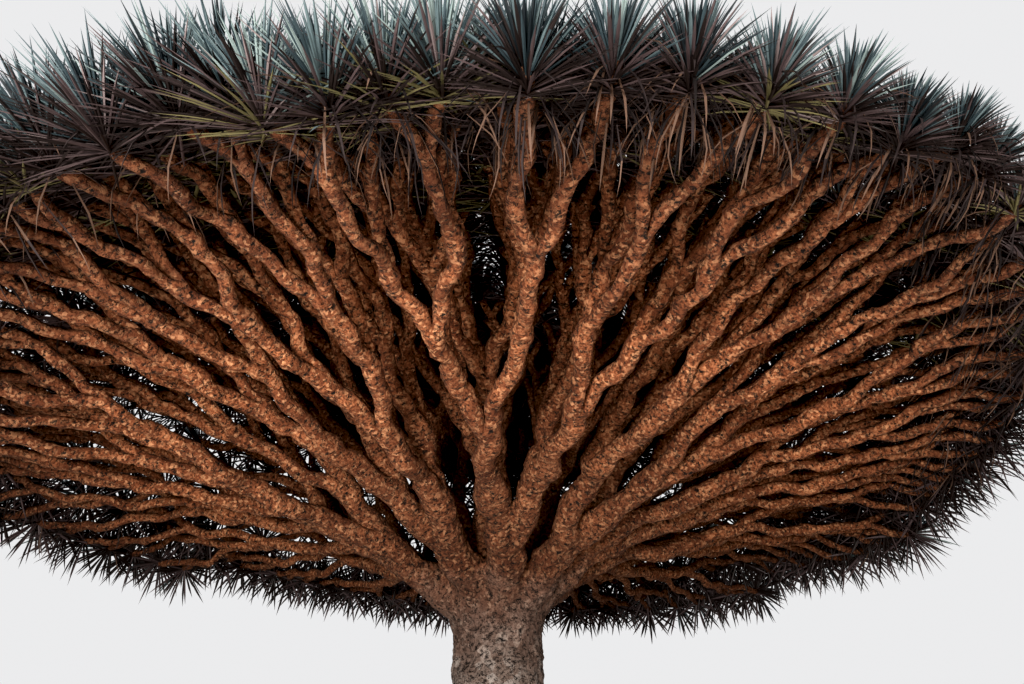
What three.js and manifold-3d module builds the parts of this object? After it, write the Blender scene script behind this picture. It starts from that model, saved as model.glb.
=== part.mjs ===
// A mature dragon blood tree, rooted in level ground, in millimetres with +Z up.
// The origin is the centre of the flat cut under the trunk, at ground level.
// Its crown is a flat umbrella. Every limb feeds one patch of the umbrella and forks in two where
// it halves that patch, so the limbs fan out from the trunk's head without crossing.
import * as THREE from "three";
import { mergeVertices } from "three/addons/utils/BufferGeometryUtils.js";
import Module from "manifold-3d";

const wasm = await Module();
wasm.setup();

// Trunk
const FORK_HEIGHT = 3050;
const TRUNK_RADIUS = 400; // of the shaft, under the head
const TRUNK_TAPER = 30; // how much wider the shaft is at the ground, without the flare
const TRUNK_LEAN = 70; // how far the fork stands behind the foot
const TRUNK_BOW = 25; // how far the shaft's middle stands to one side
const ROOT_FLARE = 190; // how far the foot spreads past the shaft
const ROOT_FLARE_HEIGHT = 420;
const HEAD_SWELL = 110; // how far the head under the boughs spreads past the shaft
const HEAD_DEPTH = 420;
const HEAD_DOME = 230; // the head's rounded top, between the boughs
const TRUNK_SIDES = 16;
const ROOT_LOBES = 6;

// Crown
const CROWN_RADIUS = 4940; // edge of the outermost patches, in plan
const RIM_SHIFT = 0.031; // how far the crown reaches further to one side, as a share of its radius
const RIM_SHIFT_AT = -0.89; // azimuth of that side
const RIM_OVAL = 0.047; // how far the rim is from round
const RIM_OVAL_AT = -0.63; // azimuth of the oval's long axis
const RIM_CORNERS = 0.055; // and it bulges three times on its way round
const RIM_CORNERS_AT = 0.53;
const RIM_HEIGHT = 3750; // the rim's own height, under its lowest twig tips
const RIM_TILT = 120; // how much higher the rim is on its high side
const RIM_TILT_AT = 3.6;
const RIM_WAVE = 140; // the rim also rises and falls three times on its way round
const RIM_WAVE_AT = 0.45; // azimuth of one of those rises
const OUTER_FROM = -0.21; // azimuth at which the first outer bough's patch starts
// How much higher each outer bough holds the rim
const OUTER_RISE = [160, 360, 360, 150, -180, 0, 0, -220, -80, 360];
const DOME_RISE = 1960; // twig tips in the middle above the rim
const DOME_ROUNDNESS = 0.8;
const OUTER_TUFTS = [88, 86, 82, 80, 74, 72, 50, 48, 72, 88]; // leaf tufts on each outer bough
const INNER_TUFTS = [46, 46, 46, 46]; // and on each inner bough
const TUFTS_PER_TWIG = 11; // the most tufts that one modelled twig end stands for

// Limbs
const INNER_SHARE = 0.27; // of the crown's plan area
const BARE_RADIUS = 34; // the part of a limb's radius that doesn't depend on its tufts
const FEED_RADIUS = 17.8; // its section grows by a circle of this radius for each tuft that it feeds
const FIRST_FORK = 0.12; // share of the way to the canopy at which a bough forks
const FORK_POWER = 1.3; // how much closer together the forks get towards the tips
const ARCH = 0.05; // rise of a limb's middle, as a share of its level run
const UPTURN = 0.35;
const BOUGH_LIFT = 0.3; // how much steeper a bough leaves the trunk than its end lies
const BOUGH_SPREAD = 0.55; // how far a bough turns at once from that towards its end
const OUTER_FOOT = { radius: 270, height: FORK_HEIGHT - 60 }; // where a bough starts, in the trunk's head
const INNER_FOOT = { radius: 110, height: FORK_HEIGHT + 60 };
const FOOT_SCATTER = 90; // the most that a bough starts above or below that
const INNER_FROM = 0.35; // azimuth at which the first inner bough's patch starts
const FORK_SPREAD = 1.25; // past 1, a limb leaves its parent at more of an angle than it needs
const SWAY = 0.035; // of a limb's length
const BOUGH_SIDES = 6;
const BOUGH_STEPS = 3;
const LIMB_SIDES = 5;
const LIMB_STEPS = 3;
const BOUGH_TAPER = { from: 1.15, to: 0.95 }; // radius at each end, as a share of the limb's own
const LIMB_TAPER = { from: 1.1, to: 0.92 };
const STEM_TAPER = { from: 0.9, to: 0.85 };
const SUNK = 0.45; // of its radius, how far back inside its parent a limb starts
const TWIG_SIDES = 3;
const GAP = 0.3; // between pieces that meet
const CLEARANCE = 15; // between twigs or sprays and other pieces
const SIMPLER_BY = 5; // the furthest that a surface moves when its short edges are merged
const MERGED_BY = 0.02; // the same for a finished piece, whose gaps have to stay

// Leaf sprays
const SPRAY_LENGTH = 860;
const SPRAY_WIDTH = 420;
const SPRAY_THICKNESS = 20;
const SPRAYS_PER_TIP = 5;
const SPRAY_ROOT = 0.02; // of its length, sunk past the twig's middle
const SPRAY_SPACING = 90; // between the roots of one twig's sprays
const TOP_SPRAY_LEAN = 0.12; // angle from the twig's flow of its first spray
const SPRAY_LEAN = 1.05; // and of the others
const SPRAY_LEAN_SCATTER = 0.3;
const SPRAY_SHORTEST = 0.86; // of the longest
const WIDEST_AT = 0.62; // of its length from the root
const TIP_LIFT = 0.6; // how strongly a twig's end turns upwards
const TIP_LIFT_SWING = 0.3; // more than that on the front, and less on the back

const GOLDEN_ANGLE = Math.PI * (3 - Math.sqrt(5));
const UP = new THREE.Vector3(0, 0, 1);

// A repeatable number from 0 to 1 for a limb and a purpose.
function chance(id, purpose) {
  const s = Math.sin(id * 12.9898 + purpose * 78.233) * 43758.5453;
  return s - Math.floor(s);
}

// Azimuth runs from -Y, the front, towards +X.
function rimRadius(azimuth) {
  const shift = RIM_SHIFT * Math.cos(azimuth - RIM_SHIFT_AT);
  const oval = RIM_OVAL * Math.cos(2 * (azimuth - RIM_OVAL_AT));
  const corners = RIM_CORNERS * Math.cos(3 * (azimuth - RIM_CORNERS_AT));
  return CROWN_RADIUS * (1 + shift + oval + corners);
}

function rimHeight(azimuth) {
  const count = OUTER_RISE.length;
  const sector = Math.floor(((azimuth - OUTER_FROM) / (2 * Math.PI)) * count);
  const rise = OUTER_RISE[((sector % count) + count) % count];
  const tilt = RIM_TILT * Math.cos(azimuth - RIM_TILT_AT);
  return RIM_HEIGHT + tilt + RIM_WAVE * Math.cos(3 * (azimuth - RIM_WAVE_AT)) + rise;
}

// A point of the canopy that the twig tips form. Share is the part of the plan area inside it.
function canopy(azimuth, share) {
  const radius = Math.sqrt(share) * rimRadius(azimuth);
  const height = rimHeight(azimuth) * share + RIM_HEIGHT * (1 - share);
  const rise = DOME_RISE * Math.pow(1 - share, DOME_ROUNDNESS);
  return new THREE.Vector3(radius * Math.sin(azimuth), -radius * Math.cos(azimuth), height + rise);
}

function patchCentre(patch) {
  return canopy((patch.from + patch.to) / 2, (patch.inner + patch.outer) / 2);
}

// Halves a patch across its longer side, by the number of tufts on each half.
function halve(limb) {
  const { patch, tufts, id } = limb;
  const uneven = 0.5 + 0.12 * (2 * chance(id, 1) - 1);
  const first = Math.min(tufts - 1, Math.max(1, Math.floor(tufts * uneven + 0.5)));
  const share = first / tufts;
  const middle = Math.sqrt((patch.inner + patch.outer) / 2) * CROWN_RADIUS;
  const across = (patch.to - patch.from) * middle;
  const deep = (Math.sqrt(patch.outer) - Math.sqrt(patch.inner)) * CROWN_RADIUS;
  const near = { ...patch };
  const far = { ...patch };
  if (across > deep) {
    near.to = patch.from + (patch.to - patch.from) * share;
    far.from = near.to;
  } else {
    near.outer = patch.inner + (patch.outer - patch.inner) * share;
    far.inner = near.outer;
  }
  return [
    { ...limb, patch: near, tufts: first, id: 2 * id },
    { ...limb, patch: far, tufts: tufts - first, id: 2 * id + 1 },
  ];
}

// Where a limb ends, and the way it points there.
function limbEnd(limb, isTip) {
  const goal = patchCentre(limb.patch);
  const way = goal.clone().sub(limb.start);
  const level = Math.hypot(way.x, way.y);
  const generations = Math.log(limb.tufts) / Math.log(limb.boughTufts);
  const left = (1 - FIRST_FORK) * Math.pow(generations, FORK_POWER);
  const t = isTip ? 1 : 1 - left;
  const point = limb.start.clone().addScaledVector(way, t);
  point.z += ARCH * level * 4 * t * (1 - t);
  const flow = way.clone().normalize();
  flow.z += (ARCH * level * 4 * (1 - 2 * t)) / way.length();
  const lift = TIP_LIFT + TIP_LIFT_SWING * Math.cos((limb.patch.from + limb.patch.to) / 2);
  flow.z += isTip ? lift : UPTURN * t;
  return { point, flow: flow.normalize() };
}

// A limb's centre line, from its parent's end to its own.
class LimbCurve extends THREE.Curve {
  constructor(from, fromFlow, to, toFlow, id, spread = FORK_SPREAD) {
    super();
    const chord = to.clone().sub(from);
    this.from = from;
    this.to = to;
    this.length = chord.length();
    const reach = 0.8 * this.length;
    const leave = fromFlow.clone().multiplyScalar(1 - spread).addScaledVector(chord, spread / this.length);
    this.leave = leave.normalize().multiplyScalar(reach);
    this.arrive = toFlow.clone().multiplyScalar(reach);
    const side = new THREE.Vector3().crossVectors(chord, UP).normalize();
    const turn = 2 * Math.PI * chance(id, 2);
    const over = new THREE.Vector3().crossVectors(side, chord).normalize();
    this.sway = side.multiplyScalar(Math.cos(turn)).addScaledVector(over, Math.sin(turn));
    this.sway.multiplyScalar(SWAY * this.length);
    this.phase = chance(id, 3);
  }

  getPoint(s, target = new THREE.Vector3()) {
    const s2 = s * s;
    const s3 = s2 * s;
    target.copy(this.from).multiplyScalar(2 * s3 - 3 * s2 + 1);
    target.addScaledVector(this.leave, s3 - 2 * s2 + s);
    target.addScaledVector(this.to, 3 * s2 - 2 * s3);
    target.addScaledVector(this.arrive, s3 - s2);
    const wave = Math.sin(Math.PI * s) * Math.sin(2 * Math.PI * (1.5 * s + this.phase));
    return target.addScaledVector(this.sway, wave);
  }
}

function limbRadius(tufts) {
  return Math.hypot(BARE_RADIUS, FEED_RADIUS * Math.sqrt(tufts));
}

// A three.js geometry as a manifold-3d solid.
function solidOf(geometry) {
  const bare = new THREE.BufferGeometry().setAttribute("position", geometry.getAttribute("position"));
  bare.setIndex(geometry.index);
  const merged = mergeVertices(bare, 1e-3);
  const mesh = new wasm.Mesh({
    numProp: 3,
    vertProperties: merged.attributes.position.array,
    triVerts: new Uint32Array(merged.index.array),
  });
  return new wasm.Manifold(mesh);
}

function geometryOf(solid) {
  const mesh = solid.getMesh();
  const geometry = new THREE.BufferGeometry();
  geometry.setAttribute("position", new THREE.BufferAttribute(mesh.vertProperties, 3));
  geometry.setIndex(new THREE.BufferAttribute(mesh.triVerts, 1));
  geometry.computeVertexNormals();
  return geometry;
}

// A cylinder bent along a line of points, with a radius at each. Its end faces the flow, if given.
function tubeSolid(points, radii, sides, grown = 0, flow = null) {
  const steps = points.length - 1;
  const geometry = new THREE.CylinderGeometry(1, 1, 1, sides, steps);
  const position = geometry.getAttribute("position");
  const frames = ringFrames(points, flow);
  const point = new THREE.Vector3();
  for (let i = 0; i < position.count; i++) {
    const ring = Math.round((position.getY(i) + 0.5) * steps);
    const { normal, binormal, tangent } = frames[ring];
    point.copy(points[ring]);
    point.addScaledVector(normal, position.getX(i) * (radii[ring] + grown));
    point.addScaledVector(binormal, -position.getZ(i) * (radii[ring] + grown));
    point.addScaledVector(tangent, ring === steps ? grown : ring === 0 ? -grown : 0);
    position.setXYZ(i, point.x, point.y, point.z);
  }
  return solidOf(geometry);
}

// A square frame at each point, turned as little as possible from one to the next.
function ringFrames(points, flow) {
  const last = points.length - 1;
  let normal = null;
  return points.map((point, i) => {
    const tangent = points[Math.min(last, i + 1)].clone().sub(points[Math.max(0, i - 1)]).normalize();
    if (i === last && flow) tangent.copy(flow);
    normal = (normal ?? new THREE.Vector3(0.3, 0.2, 1).cross(tangent)).clone();
    normal.addScaledVector(tangent, -normal.dot(tangent)).normalize();
    return { normal, binormal: new THREE.Vector3().crossVectors(tangent, normal), tangent };
  });
}

// A single tapering limb along its curve, cut square to its flow at the end.
function limbSolid(curve, fromRadius, toRadius, sides, steps, grown = 0) {
  const shares = Array.from({ length: steps + 1 }, (_, i) => i / steps);
  const radii = shares.map((share) => fromRadius + (toRadius - fromRadius) * share);
  const flow = curve.arrive.clone().normalize();
  return tubeSolid(shares.map((share) => curve.getPoint(share)), radii, sides, grown, flow);
}

// The shaft with its root flare, its swollen head and a rounded top.
function trunkProfile() {
  const points = [new THREE.Vector2(0, 0)];
  const heights = [0, 0.1, 0.25, 0.5, 1].map((share) => share * ROOT_FLARE_HEIGHT);
  heights.push(0.4 * FORK_HEIGHT, 0.62 * FORK_HEIGHT);
  const headFrom = FORK_HEIGHT - HEAD_DEPTH;
  heights.push(...[0, 0.4, 0.7, 1].map((share) => headFrom + share * HEAD_DEPTH));
  for (const height of heights) points.push(new THREE.Vector2(trunkRadius(height), height));
  for (const angle of [0.35, 0.75, 1.15]) {
    const radius = trunkRadius(FORK_HEIGHT) * Math.cos(angle);
    points.push(new THREE.Vector2(radius, FORK_HEIGHT + HEAD_DOME * Math.sin(angle)));
  }
  points.push(new THREE.Vector2(0, FORK_HEIGHT + HEAD_DOME));
  return points;
}

function trunkRadius(height) {
  const foot = Math.max(0, 1 - height / ROOT_FLARE_HEIGHT);
  const head = Math.max(0, 1 - (FORK_HEIGHT - height) / HEAD_DEPTH);
  const taper = TRUNK_TAPER * (1 - height / FORK_HEIGHT);
  return TRUNK_RADIUS + taper + ROOT_FLARE * foot * foot + HEAD_SWELL * head * head;
}

// The middle of the trunk at a height.
function trunkMiddle(height) {
  const share = Math.min(1, height / FORK_HEIGHT);
  return new THREE.Vector3(TRUNK_BOW * Math.sin(Math.PI * share), TRUNK_LEAN * share * share, height);
}

// The foot's lobes, where the roots run into the ground, fade out up the leaning shaft.
function trunkSolid(grown = 0) {
  const lathe = new THREE.LatheGeometry(trunkProfile(), TRUNK_SIDES);
  lathe.rotateX(Math.PI / 2);
  const position = lathe.getAttribute("position");
  for (let i = 0; i < position.count; i++) {
    const [x, y, z] = [position.getX(i), position.getY(i), position.getZ(i)];
    const fade = Math.exp(-z / ROOT_FLARE_HEIGHT);
    const lobes = 1 + 0.09 * fade * Math.cos(ROOT_LOBES * Math.atan2(y, x));
    const radius = Math.hypot(x, y);
    const scale = radius > 1 ? lobes * (1 + grown / radius) : 1;
    const middle = trunkMiddle(z);
    const lift = z > FORK_HEIGHT ? grown : 0;
    position.setXYZ(i, middle.x + x * scale, middle.y + y * scale, z + lift);
  }
  return solidOf(lathe);
}

// The boughs, in the order of their numbers: the outer ring, then the inner ring.
function boughs() {
  const made = [];
  const ring = (ringTufts, inner, outer, from, foot, word) => {
    const width = (2 * Math.PI) / ringTufts.length;
    ringTufts.forEach((tufts, i) => {
      const id = 1 + 1009 * made.length;
      const patch = { from: from + i * width, to: from + (i + 1) * width, inner, outer };
      const azimuth = (patch.from + patch.to) / 2;
      const start = trunkMiddle(foot.height + FOOT_SCATTER * (2 * chance(id, 4) - 1));
      start.x += foot.radius * Math.sin(azimuth);
      start.y -= foot.radius * Math.cos(azimuth);
      made.push({ patch, tufts, boughTufts: tufts, id, start, name: `${word}_${i + 1}` });
    });
  };
  ring(OUTER_TUFTS, INNER_SHARE, 1, OUTER_FROM, OUTER_FOOT, "outer");
  ring(INNER_TUFTS, 0, INNER_SHARE, INNER_FROM, INNER_FOOT, "inner");
  return made;
}

function largest(solid) {
  return solid.decompose().sort((a, b) => b.volume() - a.volume())[0];
}

// A leaf spray is a three-sided blade with a keel, pointed at both ends and widest nearer its root.
function spraySolid(root, way, side, length, width) {
  const geometry = new THREE.SphereGeometry(1, 3, 2);
  const position = geometry.getAttribute("position");
  const up = new THREE.Vector3().crossVectors(way, side).normalize();
  const point = new THREE.Vector3();
  for (let i = 0; i < position.count; i++) {
    const [x, y, z] = [position.getX(i), position.getY(i), position.getZ(i)];
    const along = Math.abs(y) > 0.5 ? (y > 0 ? 1 : 0) : WIDEST_AT;
    point.copy(root).addScaledVector(way, (along - SPRAY_ROOT) * length);
    point.addScaledVector(side, (z * width) / Math.sqrt(3));
    point.addScaledVector(up, (x * SPRAY_THICKNESS * 2) / 3);
    position.setXYZ(i, point.x, point.y, point.z);
  }
  return solidOf(geometry);
}

function boxesMeet(a, b) {
  return [0, 1, 2].every((k) => a.min[k] <= b.max[k] && b.min[k] <= a.max[k]);
}

function touches(solid, others) {
  const box = solid.boundingBox();
  return others.some((other) => {
    if (!boxesMeet(box, other.box)) return false;
    return solid.minGap(other.solid, CLEARANCE + 1) < CLEARANCE;
  });
}

// One body of many, without the short edges that joining leaves.
function joinUp(parts) {
  return largest(wasm.Manifold.union(parts).simplify(SIMPLER_BY));
}

const withBox = (solid) => ({ solid, box: solid.boundingBox() });

// Twigs fork from the stem down to TUFTS_PER_TWIG. The larger twig of a fork runs on in one piece
// with its parent, and the smaller one starts inside it.
function growTwigs(limb, path, flow, mass, others) {
  const isTip = limb.tufts <= TUFTS_PER_TWIG;
  const { point, flow: endFlow } = limbEnd(limb, isTip);
  const from = path.points.at(-1);
  const curve = new LimbCurve(from, flow, point, endFlow, limb.id);
  const radius = limbRadius(limb.tufts);
  const steps = isTip ? [point] : [curve.getPoint(0.5), point];
  const radii = steps.map(() => radius);
  const isClear = !touches(tubeSolid([from, ...steps], [radius, ...radii], TWIG_SIDES), others);
  if (isClear) {
    path.points.push(...steps);
    path.radii.push(...radii);
  }
  if (!isClear || isTip) {
    if (path.points.length > 1) mass.twigs.push(tubeSolid(path.points, path.radii, TWIG_SIDES));
    if (isClear) mass.tips.push({ point, flow: endFlow, id: limb.id });
    return;
  }
  const [small, large] = halve(limb).sort((a, b) => a.tufts - b.tufts);
  const inside = point.clone().addScaledVector(endFlow, -SUNK * radius);
  growTwigs(large, path, endFlow, mass, others);
  growTwigs(small, { points: [inside], radii: [limbRadius(small.tufts)] }, endFlow, mass, others);
}

function growSprays(tip, others) {
  const made = [];
  const side = new THREE.Vector3().crossVectors(tip.flow, new THREE.Vector3(0.2, 1, 0.1)).normalize();
  for (let i = 0; i < SPRAYS_PER_TIP; i++) {
    const turn = i * GOLDEN_ANGLE * 2 + 2 * Math.PI * chance(tip.id, 5);
    const scatter = SPRAY_LEAN_SCATTER * (2 * chance(tip.id, 10 + i) - 1);
    const lean = i === 0 ? TOP_SPRAY_LEAN : SPRAY_LEAN + scatter;
    const around = side.clone().applyAxisAngle(tip.flow, turn);
    const way = tip.flow.clone().multiplyScalar(Math.cos(lean)).addScaledVector(around, Math.sin(lean));
    const across = new THREE.Vector3().crossVectors(tip.flow, around);
    const length = SPRAY_LENGTH * (SPRAY_SHORTEST + (1 - SPRAY_SHORTEST) * chance(tip.id, 20 + i));
    const root = tip.point.clone().addScaledVector(tip.flow, -SPRAY_SPACING * i);
    const spray = spraySolid(root, way.normalize(), across, length, SPRAY_WIDTH);
    if (!touches(spray, others)) made.push(spray);
  }
  return made;
}

const bark = new THREE.MeshStandardMaterial({ color: 0x9a5a33, roughness: 0.9, metalness: 0 });
const trunkBark = new THREE.MeshStandardMaterial({ color: 0x7a6255, roughness: 0.92, metalness: 0 });
const foliage = new THREE.MeshStandardMaterial({ color: 0x46524e, roughness: 0.6, metalness: 0 });

const tree = new THREE.Group();

function addNode(name, solid, material) {
  const mesh = new THREE.Mesh(geometryOf(solid.simplify(MERGED_BY)), material);
  mesh.name = name;
  tree.add(mesh);
}

const trunk = trunkSolid();
addNode("trunk", trunk, trunkBark);

// Boughs and limbs, each cut clear of what is already there.
const wood = [withBox(trunk)];
const keepOff = [trunkSolid(GAP)];

// Returns the limb's own place in keepOff.
function addLimb(name, curve, radius, taper, sides, steps) {
  const [fromRadius, toRadius] = [taper.from * radius, taper.to * radius];
  const whole = limbSolid(curve, fromRadius, toRadius, sides, steps);
  const solid = largest(keepOff.reduce((rest, other) => rest.subtract(other), whole));
  addNode(name, solid, bark);
  wood.push(withBox(solid));
  return keepOff.push(limbSolid(curve, fromRadius, toRadius, sides, steps, GAP)) - 1;
}

// An inner bough ends in its mass, and an outer one in a fork.
const masses = [];
const forks = [];
for (const bough of boughs()) {
  const { point, flow } = limbEnd(bough, false);
  const leave = point.clone().sub(bough.start).normalize().addScaledVector(UP, BOUGH_LIFT).normalize();
  const curve = new LimbCurve(bough.start, leave, point, flow, bough.id, BOUGH_SPREAD);
  const radius = limbRadius(bough.tufts);
  const foot = addLimb(`bough_${bough.name}`, curve, radius, BOUGH_TAPER, BOUGH_SIDES, BOUGH_STEPS);
  if (bough.name.startsWith("inner")) masses.push({ limb: bough, from: point, flow, foot });
  else forks.push({ bough, from: point, flow });
}
for (const fork of forks) {
  halve(fork.bough).forEach((half, side) => {
    const limb = { ...half, name: `${fork.bough.name}${side ? "b" : "a"}` };
    const { point, flow } = limbEnd(limb, false);
    const radius = limbRadius(limb.tufts);
    const inside = fork.from.clone().addScaledVector(fork.flow, -SUNK * radius);
    const curve = new LimbCurve(inside, fork.flow, point, flow, limb.id);
    const foot = addLimb(`limb_${limb.name}`, curve, radius, LIMB_TAPER, LIMB_SIDES, LIMB_STEPS);
    masses.push({ limb, from: point, flow, foot });
  });
}

// Twigs of every mass come first, so that the sprays keep clear of all of them.
for (const mass of masses) {
  const { limb, flow } = mass;
  const others = [...wood, ...masses.filter((m) => m.solid).map((m) => m.solid)];
  const radius = limbRadius(limb.tufts);
  const foot = mass.from.clone().addScaledVector(flow, GAP);
  const head = foot.clone().addScaledVector(flow, radius);
  const [small, large] = halve(limb).sort((a, b) => a.tufts - b.tufts);
  mass.twigs = [];
  mass.tips = [];
  const stem = { points: [foot, head], radii: [STEM_TAPER.from * radius, STEM_TAPER.to * radius] };
  growTwigs(large, stem, flow, mass, others);
  growTwigs(small, { points: [head], radii: [limbRadius(small.tufts)] }, flow, mass, others);
  mass.solid = withBox(joinUp(mass.twigs));
}

// A mass is cut clear of every limb but its own, whose end it faces.
for (const mass of masses) {
  const others = [...wood, ...masses.filter((m) => m !== mass).map((m) => m.solid)];
  const sprays = mass.tips.flatMap((tip) => growSprays(tip, others));
  const apart = keepOff.filter((_, i) => i !== mass.foot);
  const joined = joinUp([mass.solid.solid, ...sprays]);
  const solid = largest(apart.reduce((rest, other) => rest.subtract(other), joined));
  mass.solid = withBox(solid);
  addNode(`mass_${mass.limb.name}`, solid, foliage);
}

export default tree;
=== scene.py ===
# %% [markdown]
# # A dragon blood tree
#
# The real tree is one thick trunk under an umbrella of forked boughs. Every limb forks in two,
# again and again, and each of its last twigs carries one tuft of stiff sword leaves. This notebook
# grows the tree by that rule, dresses it in bark and leaves, and lights it as an overcast day would.
#
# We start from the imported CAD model. It fixes where the tree stands and how far it reaches.

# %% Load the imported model
import math
from functools import partial, reduce

import bmesh
import bpy
import numpy as np
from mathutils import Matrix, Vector, noise


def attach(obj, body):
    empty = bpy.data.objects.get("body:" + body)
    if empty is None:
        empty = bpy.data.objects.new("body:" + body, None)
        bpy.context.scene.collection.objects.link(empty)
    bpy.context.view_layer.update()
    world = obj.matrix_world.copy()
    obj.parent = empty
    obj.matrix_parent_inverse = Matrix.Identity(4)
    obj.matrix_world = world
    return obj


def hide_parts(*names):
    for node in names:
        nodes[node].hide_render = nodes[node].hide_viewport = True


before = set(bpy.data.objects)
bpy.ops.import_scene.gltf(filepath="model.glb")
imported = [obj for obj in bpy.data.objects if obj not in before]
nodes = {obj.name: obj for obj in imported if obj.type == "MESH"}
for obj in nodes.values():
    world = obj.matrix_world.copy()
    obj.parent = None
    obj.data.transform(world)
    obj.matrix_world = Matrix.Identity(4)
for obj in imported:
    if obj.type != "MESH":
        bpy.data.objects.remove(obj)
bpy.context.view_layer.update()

# %% [markdown]
# ## The camera
#
# The photograph looks up into the crown from under its near rim. A wide lens does that: the near
# twigs look huge, and the far rim drops below the fork. Its place and tilt were fitted so that the
# trunk, the fork and both rims fall where the photograph has them.

# %% Camera
CAMERA_SPOT = (0.14, -6.67, 1.60)
CAMERA_TILT = math.radians(33)
FOCAL_LENGTH_MM = 24
SENSOR_MM = 36


def new_object(name, data):
    """An object in the scene with this mesh, camera or light."""
    made = bpy.data.objects.new(name, data)
    bpy.context.scene.collection.objects.link(made)
    return made


camera = new_object("camera", bpy.data.cameras.new("camera"))
camera.data.lens = FOCAL_LENGTH_MM
camera.data.sensor_width = SENSOR_MM
camera.location = CAMERA_SPOT
camera.rotation_euler = (math.pi / 2 + CAMERA_TILT, 0, 0)
bpy.context.scene.camera = camera
print(f"camera {math.hypot(*CAMERA_SPOT[:2]):.2f} m from the trunk")

# %% [markdown]
# ## The growth rule
#
# A tree's limbs could be modelled one by one, but there are more than a thousand. They are grown
# instead, by the rule that the CAD source uses, carried on to the last twigs. The twig tips form a
# canopy: a dome over a nearly round rim. Every limb feeds one patch of that canopy. Where it forks,
# its two children each take half of the patch, so the limbs fan out and never cross.
#
# Chance comes from a sine of each limb's number, and the noise that bends the limbs has a fixed
# seed, so the same tree grows on every run.

# %% The canopy
FORK_HEIGHT = 3.05
CROWN_RADIUS = 4.94
RIM_SHIFT = 0.031  # how far the crown reaches further to one side, as a share of its radius
RIM_SHIFT_AT = -0.89
RIM_OVAL = 0.047  # how far the rim is from round
RIM_OVAL_AT = -0.63
RIM_CORNERS = 0.055  # and it bulges three times on its way round
RIM_CORNERS_AT = 0.53
RIM_HEIGHT = 3.75
RIM_TILT = 0.12
RIM_TILT_AT = 3.6
RIM_WAVE = 0.14  # the rim also rises and falls three times on its way round
RIM_WAVE_AT = 0.45
OUTER_FROM = -0.21  # azimuth at which the first outer bough's patch starts
# How much higher each outer bough holds its part of the rim
OUTER_RISE = [0.16, 0.36, 0.36, 0.15, -0.18, 0, 0, -0.22, -0.08, 0.36]
DOME_RISE = 1.96
DOME_ROUNDNESS = 0.8


def chance(number, purpose):
    """A repeatable value from 0 to 1 for a limb and a purpose."""
    value = math.sin(number * 12.9898 + purpose * 78.233) * 43758.5453
    return value - math.floor(value)


def rim_radius(azimuth):
    shift = RIM_SHIFT * math.cos(azimuth - RIM_SHIFT_AT)
    oval = RIM_OVAL * math.cos(2 * (azimuth - RIM_OVAL_AT))
    corners = RIM_CORNERS * math.cos(3 * (azimuth - RIM_CORNERS_AT))
    return CROWN_RADIUS * (1 + shift + oval + corners)


def rim_height(azimuth):
    sector = math.floor((azimuth - OUTER_FROM) / math.tau * len(OUTER_RISE)) % len(OUTER_RISE)
    tilt = RIM_TILT * math.cos(azimuth - RIM_TILT_AT)
    wave = RIM_WAVE * math.cos(3 * (azimuth - RIM_WAVE_AT))
    return RIM_HEIGHT + tilt + wave + OUTER_RISE[sector]


def canopy(azimuth, share):
    """A point of the canopy. Share is the part of the plan area that lies inside it."""
    radius = math.sqrt(share) * rim_radius(azimuth)
    height = rim_height(azimuth) * share + RIM_HEIGHT * (1 - share)
    height += DOME_RISE * (1 - share) ** DOME_ROUNDNESS
    return np.array([radius * math.sin(azimuth), -radius * math.cos(azimuth), height])


print(f"crown top at {canopy(0, 0)[2]:.2f} m, near rim at {canopy(0, 1)[2]:.2f} m")

# %% [markdown]
# A limb knows its patch, the number of tufts that it feeds, and where its bough started. From these
# alone follow its end, its direction there, and its thickness. The thickness follows an old rule of
# trees, that a limb's section is the sum of its twigs' sections. A bare radius comes on top of it.

# %% Limbs
BARE_RADIUS = 0.034
FEED_RADIUS = 0.0178
FIRST_FORK = 0.12  # share of the way to the canopy at which a bough forks
FORK_POWER = 1.3
ARCH = 0.05
UPTURN = 0.35
TIP_LIFT = 0.6  # how strongly a twig's end turns upwards
TIP_LIFT_SWING = 0.3  # more than that on the front, and less on the back
UNEVEN = 0.12  # how far from half a fork's share of the tufts may be


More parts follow.
